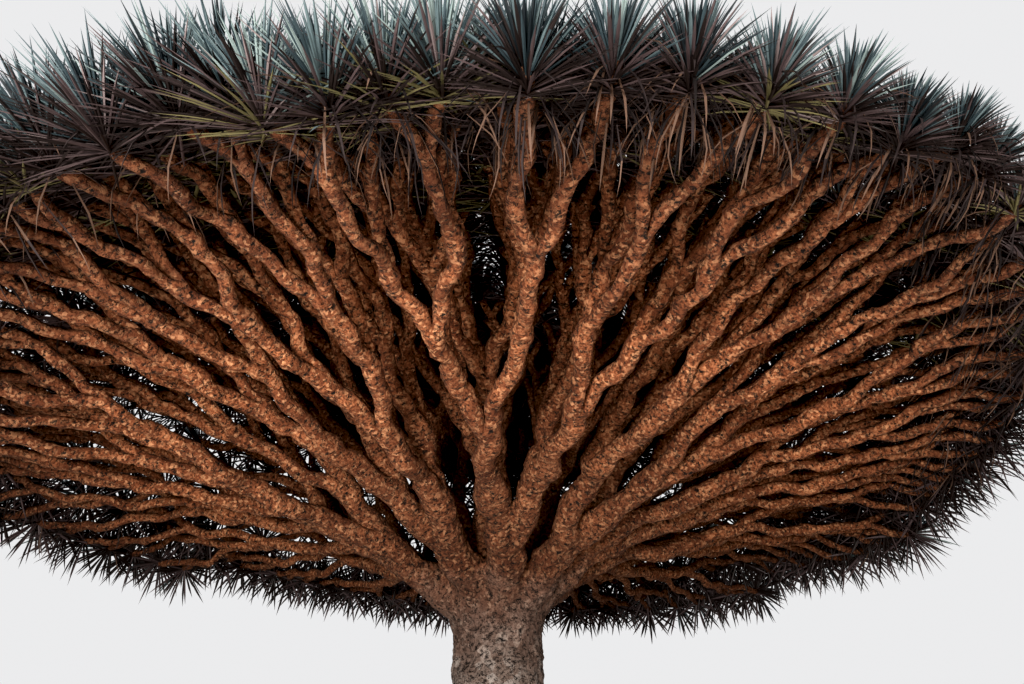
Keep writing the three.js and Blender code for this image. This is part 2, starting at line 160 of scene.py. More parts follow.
class Limb:
    def __init__(self, patch, tufts, bough_tufts, number, start):
        self.patch = patch  # azimuth from and to, then share of the plan area from and to
        self.azimuth = (patch[0] + patch[1]) / 2
        self.depth = (patch[2] + patch[3]) / 2
        self.tufts = tufts
        self.bough_tufts = bough_tufts
        self.number = number
        self.start = start
        self.radius = math.hypot(BARE_RADIUS, FEED_RADIUS * math.sqrt(tufts))
        self.is_tip = tufts == 1
        self.forks = []

    def halves(self):
        """The two limbs that share this one's patch, split across its longer side."""
        left, right, inner, outer = self.patch
        uneven = 0.5 + UNEVEN * (2 * chance(self.number, 1) - 1)
        first = min(self.tufts - 1, max(1, math.floor(self.tufts * uneven + 0.5)))
        share = first / self.tufts
        across = (right - left) * math.sqrt(self.depth) * CROWN_RADIUS
        deep = (math.sqrt(outer) - math.sqrt(inner)) * CROWN_RADIUS
        if across > deep:
            cut = left + (right - left) * share
            patches = (left, cut, inner, outer), (cut, right, inner, outer)
        else:
            cut = inner + (outer - inner) * share
            patches = (left, right, inner, cut), (left, right, cut, outer)
        counts = first, self.tufts - first
        return [
            Limb(patch, count, self.bough_tufts, 2 * self.number + i, self.start)
            for i, (patch, count) in enumerate(zip(patches, counts))
        ]

    def end(self):
        """Where the limb ends, and the way it points there."""
        way = canopy(self.azimuth, self.depth) - self.start
        level = math.hypot(way[0], way[1])
        generations = math.log(self.tufts) / math.log(self.bough_tufts)
        t = 1 if self.is_tip else 1 - (1 - FIRST_FORK) * generations**FORK_POWER
        point = self.start + way * t
        point[2] += ARCH * level * 4 * t * (1 - t)
        flow = unit(way)
        flow[2] += ARCH * level * 4 * (1 - 2 * t) / np.linalg.norm(way)
        lift = TIP_LIFT + TIP_LIFT_SWING * math.cos(self.azimuth)
        flow[2] += lift if self.is_tip else UPTURN * t
        return point, unit(flow)


def unit(vector):
    return vector / np.linalg.norm(vector)


# %% [markdown]
# A limb is a smooth curve, set by its two ends and its direction at each. It leaves its parent at
# more of an angle than it needs, and then turns back along its own flow, which opens the round
# crotches of this tree. It sways on the way, and a field of noise bends everything a little more. The
# field depends only on the place, so what meets before it is bent still meets after it.

# %% The line of a limb
UP = np.array([0.0, 0.0, 1.0])
FORK_SPREAD = 1.25
BEND = 0.045  # the most that the field moves a point
BEND_SIZE = 0.42
BEND_SEED = 2  # without one the field would start from the clock
SWAY = 0.035  # as a share of the limb's length
PULL = 0.8  # how strongly the curve keeps to its direction at either end

noise.seed_set(BEND_SEED)


def bend(points):
    return np.array([Vector(p) + BEND * noise.noise_vector(Vector(p) / BEND_SIZE) for p in points])


def bend_way(point, way):
    """The direction of a line through the point, once it is bent."""
    start, end = bend([point, point + 0.02 * way])
    return unit(end - start)


class LimbCurve:
    def __init__(self, start, leave, end, end_flow, number):
        chord = end - start
        self.start = start
        self.end = end
        self.length = np.linalg.norm(chord)
        self.leave = leave * PULL * self.length
        self.arrive = end_flow * PULL * self.length
        side = unit(np.cross(chord, UP))
        over = unit(np.cross(side, chord))
        turn = math.tau * chance(number, 2)
        self.sway = (side * math.cos(turn) + over * math.sin(turn)) * SWAY * self.length
        self.phase = chance(number, 3)

    def at(self, shares):
        s = np.asarray(shares, float)[:, None]
        line = self.start * (2 * s**3 - 3 * s**2 + 1) + self.leave * (s**3 - 2 * s**2 + s)
        line = line + self.end * (3 * s**2 - 2 * s**3) + self.arrive * (s**3 - s**2)
        return bend(line + self.sway * np.sin(np.pi * s) * np.sin(2 * np.pi * (1.5 * s + self.phase)))


def grow(limb, start, flow, spread):
    """Gives the limb its curve, then grows all that forks from it. Returns every limb grown."""
    end, end_flow = limb.end()
    leave = unit(flow * (1 - spread) + unit(end - start) * spread)
    limb.curve = LimbCurve(start, leave, end, end_flow, limb.number)
    limb.flow = bend_way(start, flow)
    limb.end_flow = bend_way(end, end_flow)
    if limb.is_tip:
        return [limb]
    limb.forks = limb.halves()
    return [limb] + [grown for fork in limb.forks for grown in grow(fork, end, end_flow, FORK_SPREAD)]


# %% [markdown]
# The boughs leave the trunk's swollen head in two rings. The outer ring carries the rim of the
# umbrella and the inner one its middle.

# %% Grow the boughs
TRUNK_LEAN = 0.07
TRUNK_BOW = 0.025
OUTER_TUFTS = [88, 86, 82, 80, 74, 72, 50, 48, 72, 88]  # on each outer bough
INNER_TUFTS = [46, 46, 46, 46]
INNER_SHARE = 0.27
BOUGH_LIFT = 0.3  # how much steeper a bough leaves the trunk than its end lies
BOUGH_SPREAD = 0.55
BOUGH_SHIFT = 0.09  # how much higher or lower than its ring a bough may start
# Of each ring: azimuth from, distance from the trunk's middle, and height of the boughs' feet
OUTER_FEET = (OUTER_FROM, 0.27, FORK_HEIGHT - 0.06)
INNER_FEET = (0.35, 0.11, FORK_HEIGHT + 0.06)


def trunk_middle(height):
    share = min(1, height / FORK_HEIGHT)
    return np.array([TRUNK_BOW * math.sin(math.pi * share), TRUNK_LEAN * share**2, height])


def bough_ring(word, tufts, inner, outer, feet, first_number):
    """The boughs of one ring, each named as its CAD node is."""
    azimuth_from, foot_radius, foot_height = feet
    width = math.tau / len(tufts)
    for i, feeds in enumerate(tufts):
        number = 1 + 1009 * (first_number + i)
        left = azimuth_from + i * width
        azimuth = left + width / 2
        start = trunk_middle(foot_height + BOUGH_SHIFT * (2 * chance(number, 4) - 1))
        start = start + foot_radius * np.array([math.sin(azimuth), -math.cos(azimuth), 0])
        bough = Limb((left, left + width, inner, outer), feeds, feeds, number, start)
        bough.name = f"{word}_{i + 1}"
        yield bough


boughs = [
    *bough_ring("outer", OUTER_TUFTS, INNER_SHARE, 1, OUTER_FEET, 0),
    *bough_ring("inner", INNER_TUFTS, 0, INNER_SHARE, INNER_FEET, len(OUTER_TUFTS)),
]
for bough in boughs:
    end, _ = bough.end()
    leave = unit(unit(end - bough.start) + BOUGH_LIFT * UP)
    bough.limbs = grow(bough, bough.start, leave, BOUGH_SPREAD)
twigs = [limb for bough in boughs for limb in bough.limbs if limb.is_tip]
print(f"{sum(len(bough.limbs) for bough in boughs)} limbs, {len(twigs)} of them twigs with a tuft")

# %% [markdown]
# ## Nodes and colours
#
# Small helpers serve every material and every Geometry Nodes tree: one adds a node with its
# settings and links, one multiplies, one starts a material, and one turns the sRGB hex value that a
# colour picker shows to linear light.

# %% Helpers for nodes and colours
KINDS = ("ShaderNode", "GeometryNode", "FunctionNode")


def linear(hex_value):
    channels = [int(hex_value[i : i + 2], 16) / 255 for i in (1, 3, 5)]
    return [c / 12.92 if c <= 0.04045 else ((c + 0.055) / 1.055) ** 2.4 for c in channels] + [1.0]


def add(tree, kind, *values, named=None, take=0, **settings):
    """Adds a node and returns its output. A kind may end in an operation, as Math:ADD does. The
    values, in place or by name, are plain ones or sockets to link from."""
    kind, _, operation = kind.partition(":")
    node = tree.nodes.new(next(word + kind for word in KINDS if hasattr(bpy.types, word + kind)))
    if operation:
        node.operation = operation
    for name, value in settings.items():
        setattr(node, name, value)
    for key, value in [*enumerate(values), *(named or {}).items()]:
        if isinstance(value, bpy.types.NodeSocket):
            tree.links.new(value, node.inputs[key])
        else:
            node.inputs[key].default_value = value
    return node.outputs[take]


def product(tree, *values):
    return reduce(partial(add, tree, "Math:MULTIPLY"), values)


def new_material(name, values):
    """A material, and the inputs of its shader, which take these values by name."""
    material = bpy.data.materials.new(name)
    material.use_nodes = True
    inputs = material.node_tree.nodes["Principled BSDF"].inputs
    for key, value in values.items():
        inputs[key].default_value = value
    return material, inputs


print("a mid grey of #808080 is", round(linear("#808080")[0], 3), "in linear light")

# %% [markdown]
# ## Bark
#
# The bark of this tree is a thin, papery cork, orange-brown where it is fresh. It breaks into small
# plates that wear to pale flecks, with dark cracks between them, and it is pitted with small dark
# chips that lie across the limb, where rings of old leaves fell.
#
# Voronoi cells make the plates. Alone they would look like tiles, so noise pushes their edges about
# and lets the cracks show in places only. The chips are noise too, and need to know the way along a
# limb. As every limb fans out from the trunk's head, the distance from there is near enough. It goes
# in as the fourth dimension of the noise, which squeezes the chips along the limb. The same distance
# places painted shade: darker where the boughs leave the head, and darker at the rim's twig ends.

# %% Bark material
SPECKLE = 0.018  # across the finest speckle, in metres
FLAKE = 0.024  # across one plate of cork
TRUNK_FLAKE = 0.075  # the same on the trunk
PATCH = 0.11  # across one area where the cork is of one age
CHIP = 0.0374  # along one dark chip, across the limb
RINGS = 1.2  # how many times shorter a chip is along the limb than across it
STAIN = 0.45  # across one stain
WARP = 0.06  # across one wave of the noise that makes the plates' edges ragged
WARP_REACH = 0.05  # and how far it pushes them
BUMP_DEPTH = 0.018
FLAKE_BUMP = 0.5  # how much higher the highest plate is, as a share of that
CHIP_BUMP = -0.7
WEATHERED_BELOW = 2.45  # the cork is all weathered under this height, and all fresh above the next
FRESH_ABOVE = 3.25
BORDER_SWING = 0.9  # how far up and down the border between the two wanders
# Each colour of the cork on the weathered trunk, and in the crown
CORK = {
    "deep": ("#84756c", "#5f3018"),
    "fresh": ("#cbc0b8", "#b67d58"),
    "flake": ("#f8f1ea", "#d9a981"),
    "stain": ("#9b877b", "#5c3019"),
    "chip": ("#1d1815", "#0f0805"),
}
FORK_SHADE_PAINT = "#33261f"  # painted shade, darkest where the boughs leave the head, for the shade in the fork
TWIG_END_SHADE = "#3a2219"  # painted shade: the rim's twig ends darker, as under their tufts
# How strongly each pattern shows: two of its values, and the share that it has at each
SHOWN = {
    "mottle": (0.36, 0.60, 0.0, 1.0),
    "patch": (0.0, 1.0, 0.6, 0.0),
    "stain": (0.42, 0.66, 0.0, 0.6),
    "plate": (0.60, 0.97, 0.0, 0.55),
    # painted shade in the fork: strongest at the head, gone 3.2 m out along the boughs
    "painted fork shade": (0.2, 3.2, 0.55, 0.0),
    # painted shade on the rim's twig ends, from 3.4 m out from the head
    "painted end shade": (3.4, 5.4, 0.0, 0.7),
    "seam": (0.02, 0.09, 1.0, 0.0),
    "seams here": (0.49, 0.58, 0.0, 1.0),
    "crack": (0.01, 0.07, 1.0, 0.0),
    "cracks here": (0.53, 0.60, 0.0, 0.9),
    "pit": (0.62, 0.65, 0.0, 1.0),
    "sunk": (0.52, 0.60, 0.0, 1.0),
    "roughness": (0.0, 1.0, 0.95, 0.75),
}


def bark_material(name):
    """Cork bark, orange in the crown and weathered grey down the trunk."""
    material, inputs = new_material(name, {})
    tree = material.node_tree
    node = partial(add, tree)
    place = node("TexCoord", take="Object")
    along = node("VectorMath:DISTANCE", place, (0, TRUNK_LEAN, FORK_HEIGHT), take="Value")

    grain = {"Vector": place, "Detail": 3.0, "Roughness": 0.6}
    coarse = grain | {"Scale": 1 / WARP, "Roughness": 0.7}
    push = node("TexNoise", named=coarse, take="Color")
    ragged = node("VectorMath:MULTIPLY_ADD", push, (WARP_REACH, WARP_REACH, WARP_REACH), place)
    stains = node("TexNoise", named=grain | {"Scale": 1 / STAIN})
    mottle = node("TexNoise", named=coarse | {"Scale": 1 / SPECKLE, "Detail": 4.0})
    fast = node("Math:MULTIPLY", along, RINGS)
    chips = node("TexNoise", named=grain | {"W": fast, "Scale": 1 / CHIP}, noise_dimensions="4D")

    shades = {}
    for size in (FLAKE, TRUNK_FLAKE, PATCH):
        cells = node("TexVoronoi", named={"Vector": ragged, "Scale": 1 / size}, take="Color")
        shades[size] = node("SeparateXYZ", cells)
    edges = {}
    for size in (FLAKE, PATCH):
        cells = {"Vector": ragged, "Scale": 1 / size}
        edges[size] = node("TexVoronoi", named=cells, feature="DISTANCE_TO_EDGE")

    height = node("SeparateXYZ", place, take="Z")
    level = node("Math:MULTIPLY_ADD", stains, BORDER_SWING, height)
    freshness = node("MapRange", level, WEATHERED_BELOW + BORDER_SWING / 2, FRESH_ABOVE + BORDER_SWING / 2)
    plates = node("Mix", freshness, named={2: shades[TRUNK_FLAKE], 3: shades[FLAKE]})
    patterns = {
        "mottle": mottle, "patch": shades[PATCH], "stain": stains, "plate": plates, "painted fork shade": along,
        "painted end shade": along, "seam": edges[FLAKE], "seams here": chips, "crack": edges[PATCH],
        "cracks here": chips, "pit": chips, "sunk": chips, "roughness": plates,
    }
    shown = {word: node("MapRange", pattern, *SHOWN[word]) for word, pattern in patterns.items()}
    seams = product(tree, shown["seam"], shown["seams here"])
    cracks = product(tree, shown["crack"], shown["cracks here"])
    dark = node("Math:MAXIMUM", node("Math:MAXIMUM", seams, shown["pit"]), cracks)

    blend = partial(node, "Mix", take=2, data_type="RGBA")
    cork = {part: blend(freshness, named={6: linear(a), 7: linear(b)}) for part, (a, b) in CORK.items()}
    colour = cork["deep"]
    for share, paint in [
        (shown["mottle"], cork["fresh"]),
        (shown["patch"], cork["stain"]),
        (shown["stain"], cork["stain"]),
        (shown["plate"], cork["flake"]),
        # painted shade, darkest where the boughs leave the head
        (shown["painted fork shade"], linear(FORK_SHADE_PAINT)),
        # painted shade, darker towards the rim's twig ends
        (shown["painted end shade"], linear(TWIG_END_SHADE)),
        (dark, cork["chip"]),
    ]:
        colour = blend(share, named={6: colour, 7: paint})

    raised = node("Math:MULTIPLY_ADD", shades[FLAKE], FLAKE_BUMP, mottle)
    raised = node("Math:MULTIPLY_ADD", shown["sunk"], CHIP_BUMP, raised)
    bump = node("Bump", named={"Height": raised, "Strength": 1.0, "Distance": BUMP_DEPTH})
    for key, value in {"Base Color": colour, "Normal": bump, "Roughness": shown["roughness"]}.items():
        tree.links.new(value, inputs[key])
    return material


bough_cork = bark_material("orange_cork_bark")
trunk_cork = bark_material("weathered_cork_bark")
print(f"cork plates of {FLAKE * 1000:.0f} mm, in patches of {PATCH * 1000:.0f} mm")

# %% [markdown]
# ## Tubes of wood
#
# A limb's skin is a row of rings along its curve, joined by quads. At a fork the last ring is cut
# down the middle: each half, closed by a few points across the crotch, is the first ring of one
# child. So a whole bough with all its twigs is one closed skin with no seam at any fork.

# %% Rings and forks
RING_STEP = 0.045
STOUT_RING_STEP = 0.55  # the same on a stout limb, as a share of its radius
SWELLING = 0.20  # how much thicker a limb is just before it forks
SWELLING_REACH = 1.3  # how far from the fork that is, in radii
LUMPS = 0.22  # how much noise adds to a limb's thickness or takes off it
LUMP_SIZE = 0.11
TURNS_WITHIN = 1.6  # a child's way from the fork to its own direction, in radii at the fork
THINS_WITHIN = 2.2  # to its own thickness
ROUNDS_WITHIN = 2.5  # to a round ring
CLEAR_OF_SIBLING = 0.9
FLATTEST = 0.3  # the inner half of a child's ring at its flattest, as a share of its radius
HALF_GAP = 0.48  # the part of the gap between two siblings that each may fill
CROTCH_HEIGHT = 0.55
TIP_LENGTH = 0.6


class WoodMesh:
    """Collects points and faces."""

    def __init__(self):
        self.points = []
        self.faces = []

    def add(self, points):
        first = len(self.points)
        self.points.extend(points)
        return list(range(first, first + len(points)))

    def bridge(self, lower, upper):
        for i in range(len(lower)):
            j = (i + 1) % len(lower)
            self.faces.append((lower[i], lower[j], upper[j], upper[i]))

    def close(self, ring, tip):
        """Closes a ring with a point, on the side that the ring's order shows its back to."""
        (end,) = self.add([tip])
        for i in range(len(ring)):
            self.faces.append((ring[i], ring[(i + 1) % len(ring)], end))


def smooth(x):
    x = min(1, max(0, x))
    return x * x * (3 - 2 * x)


def sides_for(radius):
    """Thin twigs need fewer sides. Every count is even, so that a ring can be halved."""
    return 6 if radius < 0.045 else 8 if radius < 0.08 else 10 if radius < 0.11 else 12


def even_angles(count):
    return -math.pi / 2 + math.tau * np.arange(count) / count


def ring_points(centre, normal, tangent, angles, radius, inner):
    """A ring whose inner half, away from the normal, may be flatter."""
    other = np.cross(tangent, normal)
    out = np.where(np.cos(angles) > 0, radius, inner) * np.cos(angles)
    return centre + out[:, None] * normal + (radius * np.sin(angles))[:, None] * other


def frames_along(centres, first_tangent, first_normal, last_tangent, blend):
    """Tangents that turn from the parent's, and normals that turn as little as they can."""
    steps = np.gradient(centres, axis=0)
    normal = first_normal
    frames = []
    for i, step in enumerate(steps):
        travelled = np.linalg.norm(centres[i] - centres[0])
        tangent = unit(step)
        tangent = unit(first_tangent + (tangent - first_tangent) * smooth(travelled / blend))
        if i == len(steps) - 1:
            tangent = last_tangent
        normal = unit(normal - tangent * np.dot(normal, tangent))
        frames.append((tangent, normal))
    return frames


def angle_of(way, tangent, normal):
    """Where on a ring this way points."""
    return math.atan2(np.dot(way, np.cross(tangent, normal)), np.dot(way, normal))


def skin(mesh, limb, ring, angles, normal, wide, sibling=None, from_share=0.0):
    """Skins a limb from its first ring, then splits its last ring for the two limbs that fork off."""
    length = limb.curve.length
    count = len(ring)
    steps = max(2, round(length * (1 - from_share) / max(RING_STEP, STOUT_RING_STEP * limb.radius)))
    first = from_share + (1 - from_share) / steps
    if sibling:
        first = max(CLEAR_OF_SIBLING * wide / length, 1 / steps)
    shares = np.linspace(first, 1, steps)
    centres = limb.curve.at(np.concatenate([[from_share], shares]))
    gaps = np.full(steps, np.inf)
    if sibling:
        gaps = np.linalg.norm(limb.curve.at(shares) - sibling.curve.at(shares), axis=1)
    frames = frames_along(centres, limb.flow, normal, limb.end_flow, TURNS_WITHIN * wide)

    tangent, last_normal = frames[-1]
    twist = 0.0
    if limb.forks:
        a, b = limb.forks
        apart = a.curve.at([0.5])[0] - b.curve.at([0.5])[0]
        split = unit(apart - tangent * np.dot(apart, tangent))
        step = math.tau / count
        wanted = angle_of(np.cross(tangent, split), tangent, last_normal)
        twist = (wanted + math.pi / 2 + step / 2) % step - step / 2

    for i, share in enumerate(shares):
        travelled = (share - from_share) * length
        tangent, normal = frames[i + 1]
        to_fork = (1 - share) * length / (SWELLING_REACH * limb.radius)
        knot = 1 + SWELLING * math.exp(-(to_fork**2)) * bool(limb.forks)
        lump = 1 + LUMPS * noise.noise(Vector(centres[i + 1]) / LUMP_SIZE)
        radius = (wide + (limb.radius - wide) * smooth(travelled / (THINS_WITHIN * wide))) * knot * lump
        inner = min(radius, max(FLATTEST * radius, HALF_GAP * gaps[i]))
        settle = smooth(travelled / (ROUNDS_WITHIN * wide))
        turned = angles + (even_angles(count) - angles) * settle + twist * smooth(share)
        upper = mesh.add(ring_points(centres[i + 1], normal, tangent, turned, radius, inner))
        mesh.bridge(ring, upper)
        ring = upper
    if limb.is_tip:
        mesh.close(ring, centres[-1] + tangent * TIP_LENGTH * limb.radius)
    else:
        split_ring(mesh, limb, ring, tangent, split, even_angles(count) + twist, last_normal, radius)


def split_ring(mesh, limb, ring, tangent, split, angles, normal, radius):
    """Halves the ring across the split, and skins one child from each half."""
    a, b = limb.forks
    count = len(ring)
    half = count // 2
    across = np.cross(tangent, split)
    offsets = (angles - angle_of(across, tangent, normal) + math.pi) % math.tau - math.pi
    pole = int(np.argmin(np.abs(offsets)))
    bridge_points = sides_for(max(a.radius, b.radius)) - half - 1
    arc = np.pi * np.arange(1, bridge_points + 1) / (bridge_points + 1)
    centre = limb.curve.at([1])[0]
    rise = tangent * CROTCH_HEIGHT
    crotch = mesh.add([centre + radius * (across * math.cos(t) + rise * math.sin(t)) for t in arc])
    child_angles = np.concatenate([-math.pi / 2 + math.pi * np.arange(half + 1) / half, math.pi / 2 + arc])
    ring_a = [ring[(pole - half + i) % count] for i in range(half + 1)] + crotch
    ring_b = [ring[(pole + i) % count] for i in range(half + 1)] + crotch[::-1]
    skin(mesh, a, ring_a, child_angles, split, radius, sibling=b)
    skin(mesh, b, ring_b, child_angles, -split, radius, sibling=a)


def mesh_object(name, mesh):
    data = bpy.data.meshes.new(name)
    data.from_pydata([tuple(p) for p in mesh.points], [], mesh.faces)
    data.shade_smooth()
    return new_object(name, data)


# %% [markdown]
# The CAD model has the first fork of each outer bough as limbs of its own. The twigs' skin starts
# inside the end of such a limb, or of an inner bough, and takes over from it there.

# %% Skin the twigs
TAKE_OVER = 0.30  # how far before its end a limb's skin is taken over by its twigs'
TAKE_OVER_LATEST = 0.2  # and no nearer its start than this share of its length
TUCKED_IN = 0.8  # how thick the twigs' skin starts, as a share of the limb


def stems():
    """Each CAD mass with the limb whose end it grows from."""
    for bough in boughs:
        if bough.name.startswith("inner"):
            yield f"mass_{bough.name}", bough
        else:
            for letter, limb in zip("ab", bough.forks):
                yield f"mass_{bough.name}{letter}", limb


def twig_skin(mesh, limb):
    from_share = max(TAKE_OVER_LATEST, 1 - TAKE_OVER / limb.curve.length)
    here, ahead = limb.curve.at([from_share, from_share + 0.02])
    limb.flow = unit(ahead - here)
    normal = unit(np.cross(limb.flow, UP))
    angles = even_angles(sides_for(limb.radius))
    radius = TUCKED_IN * limb.radius
    ring = mesh.add(ring_points(here, normal, limb.flow, angles, radius, radius))
    mesh.close(ring[::-1], here)
    skin(mesh, limb, ring, angles, normal, radius, from_share=from_share)


twig_skins = {}
for name, limb in stems():
    twig_skins[name] = WoodMesh()
    twig_skin(twig_skins[name], limb)
print(f"{sum(len(mesh.faces) for mesh in twig_skins.values())} faces of twigs")

# %% [markdown]
# ## Geometry Nodes helpers
#
# Relief and leaves are made by Geometry Nodes trees. Each has named inputs, which a modifier knows
# by an identifier, and each result is turned into a plain mesh, because the export keeps no modifier
# that makes instances.

# %% Helpers for Geometry Nodes
ALL = slice(None)


def new_tree(name, inputs):
    """A Geometry Nodes tree that takes and gives a geometry. Returns it with the sockets of its
    inputs, the geometry first, and the socket of its output."""
    tree = bpy.data.node_groups.new(name, "GeometryNodeTree")
    tree.interface.new_socket("Geometry", in_out="OUTPUT", socket_type="NodeSocketGeometry")
    tree.interface.new_socket("Geometry", in_out="INPUT", socket_type="NodeSocketGeometry")
    for label, value in inputs.items():
        kind = {int: "Int", float: "Float"}.get(type(value), "Material")
        socket = tree.interface.new_socket(label, in_out="INPUT", socket_type=f"NodeSocket{kind}")
        if value is not None:
            socket.default_value = value
    return tree, tree.nodes.new("NodeGroupInput").outputs, tree.nodes.new("NodeGroupOutput").inputs[0]


def apply_tree(piece, tree, **values):
    """Runs the tree on the piece with these inputs and keeps the result as the piece's mesh."""
    modifier = piece.modifiers.new(tree.name, "NODES")
    modifier.node_group = tree
    for item in tree.interface.items_tree:
        label = item.name.lower().replace(" ", "_")
        if item.in_out == "INPUT" and label in values:
            modifier[item.identifier] = values[label]
    bake(piece)


def bake(piece):
    """Turns a piece with its modifiers into a plain mesh."""
    shown = piece.evaluated_get(bpy.context.evaluated_depsgraph_get())
    data = bpy.data.meshes.new_from_object(shown)
    piece.modifiers.clear()
    old = piece.data
    piece.data = data
    data.name = piece.name
    bpy.data.meshes.remove(old)


print("helpers ready")

# %% [markdown]
# ## Relief of the bark
#
# Up close the wood is never round. Old leaf rings, swollen knuckles and lifted plates stand out by a
# centimetre or more. Colour alone can't make that edge against the sky, so this tree moves the skin
# itself along its normals: broad lumps from noise, and plates from a Voronoi texture.

# %% A tree for bark relief
relief_tree, given, result = new_tree(
    "bark_relief",
    {"Lump Size": 0.17, "Lump Height": 0.075, "Plate Size": 0.055, "Plate Height": 0.022, "Bark": None},
)
node = partial(add, relief_tree)
lump_scale = node("Math:DIVIDE", 1.0, given["Lump Size"])
plate_scale = node("Math:DIVIDE", 1.0, given["Plate Size"])
lumps = node("TexNoise", named={"Scale": lump_scale, "Detail": 2.0})
plates = node("TexVoronoi", named={"Scale": plate_scale})
lump = product(relief_tree, node("Math:SUBTRACT", lumps, 0.5), given["Lump Height"])
plate = product(relief_tree, node("Math:SUBTRACT", 0.5, plates), given["Plate Height"])
height = node("Math:ADD", lump, plate)
offset = node("VectorMath:SCALE", node("InputNormal"), named={"Scale": height})
moved = node("SetPosition", given[0], named={"Offset": offset})
coated = node("SetMaterial", moved, named={"Material": given["Bark"]})
relief_tree.links.new(coated, result)
print("relief tree with", len(relief_tree.nodes), "nodes")

# %% [markdown]
# ## Trunk and boughs
#
# The trunk's head is where this tree shows its strength: a dozen boughs swell out of it with no line
# between them. Overlapping tubes give the shapes, a voxel remesh melts them into one skin, and a
# little smoothing rounds the crotches as the bark does.

# %% Melt the trunk and boughs together
TRUNK_RADIUS = 0.40
TRUNK_TAPER = 0.03
TRUNK_SIDES = 48
TRUNK_RING_STEP = 0.06
ROOT_FLARE = 0.19
ROOT_FLARE_HEIGHT = 0.42
ROOT_LOBES = 6
ROOT_LOBE_DEPTH = 0.09
HEAD_SWELL = 0.11
HEAD_DEPTH = 0.42
HEAD_DOME = 0.23
BELOW_GROUND = 0.12  # made too long, and cut flat once the relief is on
LIMB_SIDES = 16
LIMB_RING_STEP = 0.06
# How thick a limb is at either end, as a share of its radius, and how far back it starts, in metres
# for a bough and in radii for a limb
BOUGH_SHAPE = (1.22, 0.97, 0.12)
LIMB_SHAPE = (1.12, 0.93, 0.4)
VOXEL = 0.018
SOFTENINGS = 6


def trunk_radius(height):
    foot = max(0, 1 - max(0, height) / ROOT_FLARE_HEIGHT)
    head = max(0, 1 - (FORK_HEIGHT - height) / HEAD_DEPTH)
    taper = TRUNK_TAPER * (1 - height / FORK_HEIGHT)
    return TRUNK_RADIUS + taper + ROOT_FLARE * foot**2 + HEAD_SWELL * head**2


def tube(mesh, rings, foot, tip):
    """A closed tube through these rings of points."""
    last = None
    for ring in rings:
        ring = mesh.add(ring)
        if last:
            mesh.bridge(last, ring)
        else:
            mesh.close(ring[::-1], foot)
        last = ring
    mesh.close(last, tip)


def trunk_rings():
    """The trunk's rings, from below the ground to its rounded top."""
    turns = math.tau * np.arange(TRUNK_SIDES) / TRUNK_SIDES
    heights = np.arange(-BELOW_GROUND, FORK_HEIGHT, TRUNK_RING_STEP)
    levels = [(height, trunk_radius(height)) for height in heights]
    for angle in np.linspace(0.1, 1.4, 6):
        radius = trunk_radius(FORK_HEIGHT) * math.cos(angle)
        levels.append((FORK_HEIGHT + HEAD_DOME * math.sin(angle), radius))
    for height, radius in levels:
        depth = ROOT_LOBE_DEPTH * math.exp(-max(0, height) / ROOT_FLARE_HEIGHT)
        lobed = radius * (1 + depth * np.cos(ROOT_LOBES * turns))
        middle = trunk_middle(max(0, height))
        ring = np.stack([lobed * np.cos(turns), lobed * np.sin(turns), 0 * turns], 1)
        yield ring + [middle[0], middle[1], height]


def limb_tube(mesh, limb, thick_from, thick_to, back):
    """One limb as a closed tube that starts a little way back, inside what it grows from."""
    shares = np.linspace(0, 1, max(6, round(limb.curve.length / LIMB_RING_STEP)))
    centres = limb.curve.at(shares)
    centres = np.vstack([centres[0] - unit(centres[1] - centres[0]) * back, centres])
    tangent = unit(centres[1] - centres[0])
    frames = frames_along(centres, tangent, unit(np.cross(tangent, UP)), limb.end_flow, 0.05)
    angles = math.tau * np.arange(LIMB_SIDES) / LIMB_SIDES
    rings = []
    for centre, share, (tangent, normal) in zip(centres, [0, *shares], frames):
        radius = limb.radius * (thick_from + (thick_to - thick_from) * share)
        rings.append(ring_points(centre, normal, tangent, angles, radius, radius))
    tube(mesh, rings, centres[0], centres[-1])


stout = WoodMesh()
foot = trunk_middle(0) - [0, 0, BELOW_GROUND]
tube(stout, trunk_rings(), foot, trunk_middle(FORK_HEIGHT) + [0, 0, HEAD_DOME])
for bough in boughs:
    limb_tube(stout, bough, *BOUGH_SHAPE)
    if bough.name.startswith("outer"):
        for limb in bough.forks:
            thick_from, thick_to, back = LIMB_SHAPE
            limb_tube(stout, limb, thick_from, thick_to, back * limb.radius)
wood = mesh_object("wood", stout)
melt = wood.modifiers.new("melt", "REMESH")
melt.mode = "VOXEL"
melt.voxel_size = VOXEL
melt.use_smooth_shade = True
soften = wood.modifiers.new("soften", "SMOOTH")
soften.iterations = SOFTENINGS
bake(wood)
apply_tree(wood, relief_tree, bark=bough_cork)
print(f"trunk and boughs: {len(wood.data.polygons)} faces")

# %% [markdown]
# The remeshed wood is cut flat at the ground, where the CAD model has its cut, and then parted at the
# trunk's head, so that the trunk and the boughs stay separate pieces.

# %% Cut the wood into its pieces
TRUNK_TOP = FORK_HEIGHT - 0.22


def cut_flat(piece, height, keep_above):
    """Keeps what lies above or below a level, and closes the cut."""
    shape = bmesh.new()
    shape.from_mesh(piece.data)
    everything = shape.verts[:] + shape.edges[:] + shape.faces[:]
    cut = bmesh.ops.bisect_plane(
        shape, geom=everything, plane_co=(0, 0, height), plane_no=(0, 0, 1),
        clear_inner=keep_above, clear_outer=not keep_above,
    )
    edges = [item for item in cut["geom_cut"] if isinstance(item, bmesh.types.BMEdge)]
    bmesh.ops.contextual_create(shape, geom=edges)
    shape.to_mesh(piece.data)
    shape.free()


